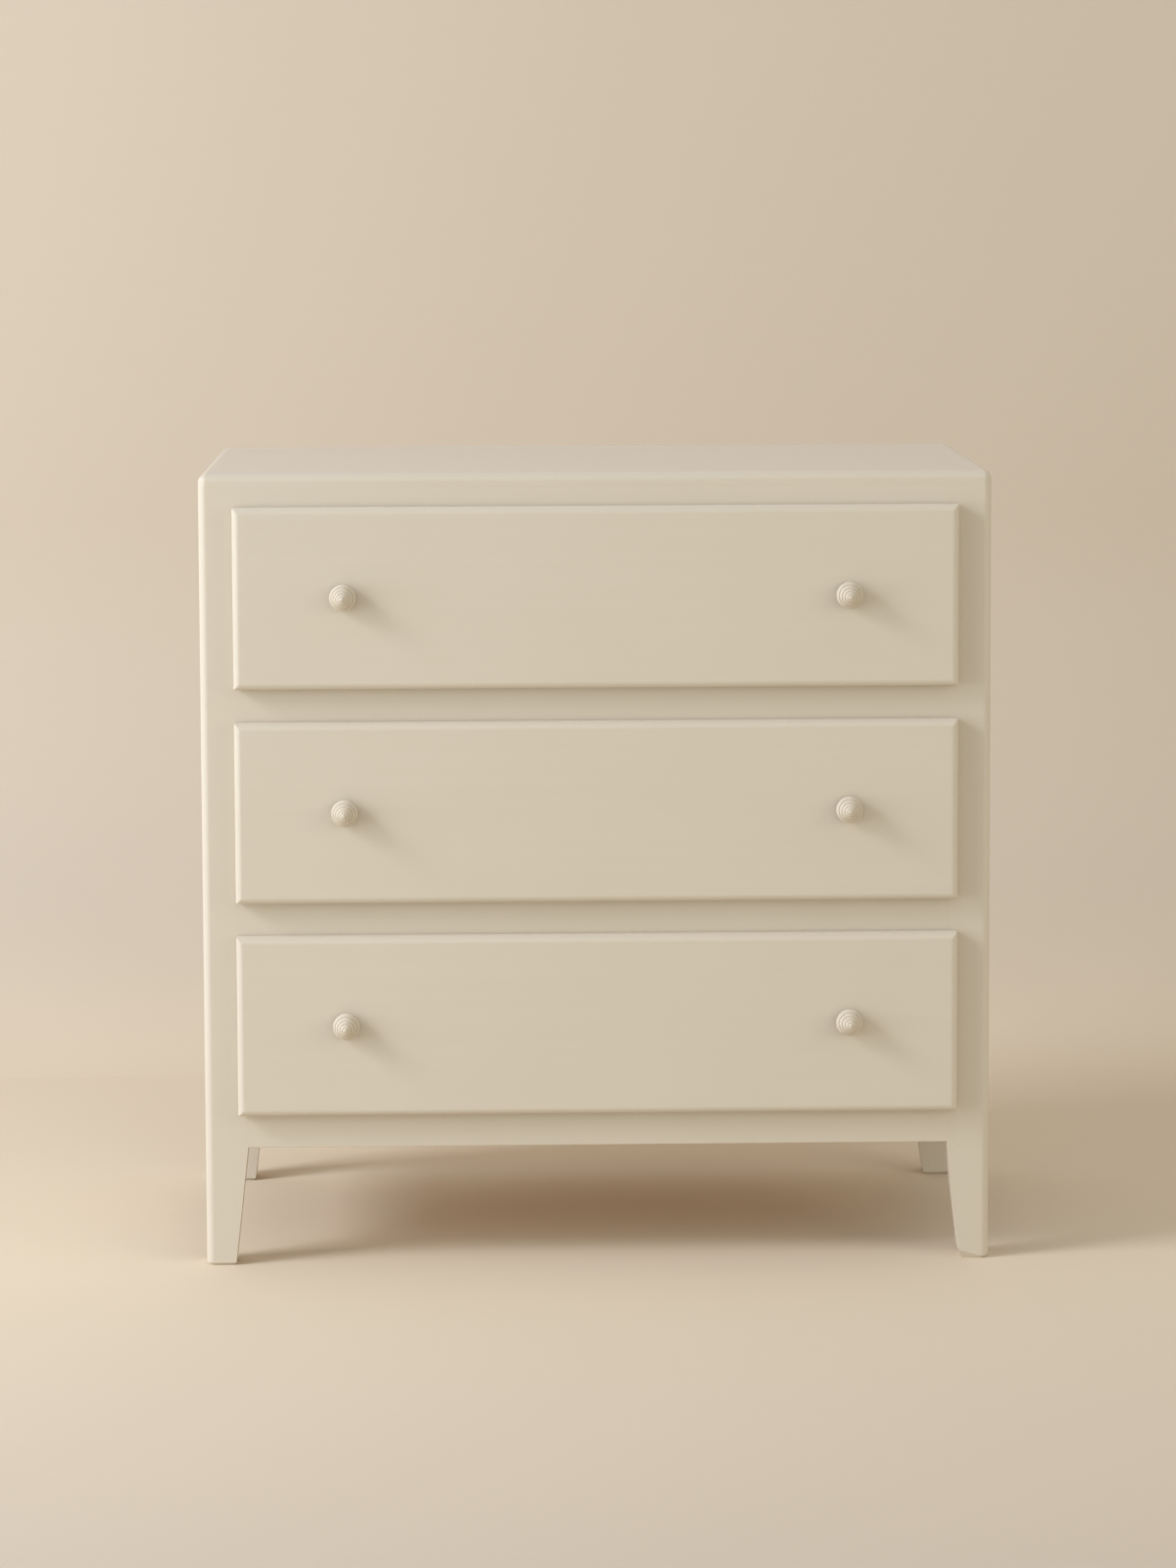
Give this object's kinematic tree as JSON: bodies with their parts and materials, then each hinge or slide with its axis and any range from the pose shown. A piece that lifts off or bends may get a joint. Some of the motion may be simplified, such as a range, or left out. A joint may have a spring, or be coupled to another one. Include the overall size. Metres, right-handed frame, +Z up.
{
  "type": "commode",
  "caption": "Floor-standing painted wooden commode with full-width round-edged drawers that slide on side runners, turned ringed knobs, a rounded top and tapered legs.",
  "frame": {"origin": "on the floor, in the middle of the box that holds the whole object with its knobs", "axes": "+Z up, the drawer fronts face -Y, +X to the right as seen from the front"},
  "size_m": [0.88, 0.5, 0.89],
  "materials": {
    "cream_paint": "matt cream brushed paint",
    "knob_paint": "matt off-white paint on turned wood",
    "bare_wood": "planed pale wood, unfinished",
    "plywood": "thin sanded plywood",
    "screw_steel": "zinc-plated"
  },
  "bodies": {
    "carcass": {"top_board": "cream_paint", "left_front_post": "cream_paint", "right_front_post": "cream_paint", "left_rear_post": "cream_paint", "right_rear_post": "cream_paint", "left_side_panel": "cream_paint", "right_side_panel": "cream_paint", "bottom_rail": "cream_paint", "lower_divider_rail": "cream_paint", "upper_divider_rail": "cream_paint", "top_rail": "cream_paint", "back_panel": "plywood", "lower_rear_rail": "bare_wood", "upper_rear_rail": "bare_wood", "left_lower_runner": "bare_wood", "right_lower_runner": "bare_wood", "left_middle_runner": "bare_wood", "right_middle_runner": "bare_wood", "left_upper_runner": "bare_wood", "right_upper_runner": "bare_wood", "left_top_cleat": "bare_wood", "right_top_cleat": "bare_wood"},
    "upper_drawer": {"upper_drawer_front": "cream_paint", "upper_drawer_inner_front": "bare_wood", "upper_drawer_left_side": "bare_wood", "upper_drawer_right_side": "bare_wood", "upper_drawer_back": "bare_wood", "upper_drawer_bottom": "plywood", "upper_drawer_knobs": "knob_paint", "upper_drawer_knob_screws": "screw_steel"},
    "middle_drawer": {"middle_drawer_front": "cream_paint", "middle_drawer_inner_front": "bare_wood", "middle_drawer_left_side": "bare_wood", "middle_drawer_right_side": "bare_wood", "middle_drawer_back": "bare_wood", "middle_drawer_bottom": "plywood", "middle_drawer_knobs": "knob_paint", "middle_drawer_knob_screws": "screw_steel"},
    "lower_drawer": {"lower_drawer_front": "cream_paint", "lower_drawer_inner_front": "bare_wood", "lower_drawer_left_side": "bare_wood", "lower_drawer_right_side": "bare_wood", "lower_drawer_back": "bare_wood", "lower_drawer_bottom": "plywood", "lower_drawer_knobs": "knob_paint", "lower_drawer_knob_screws": "screw_steel"}
  },
  "joints": [
    {"name": "upper_drawer_slide", "type": "slide", "parent": "carcass", "child": "upper_drawer", "axis": [0, -1, 0], "range_m": [0, 0.3]},
    {"name": "middle_drawer_slide", "type": "slide", "parent": "carcass", "child": "middle_drawer", "axis": [0, -1, 0], "range_m": [0, 0.3]},
    {"name": "lower_drawer_slide", "type": "slide", "parent": "carcass", "child": "lower_drawer", "axis": [0, -1, 0], "range_m": [0, 0.3]}
  ]
}
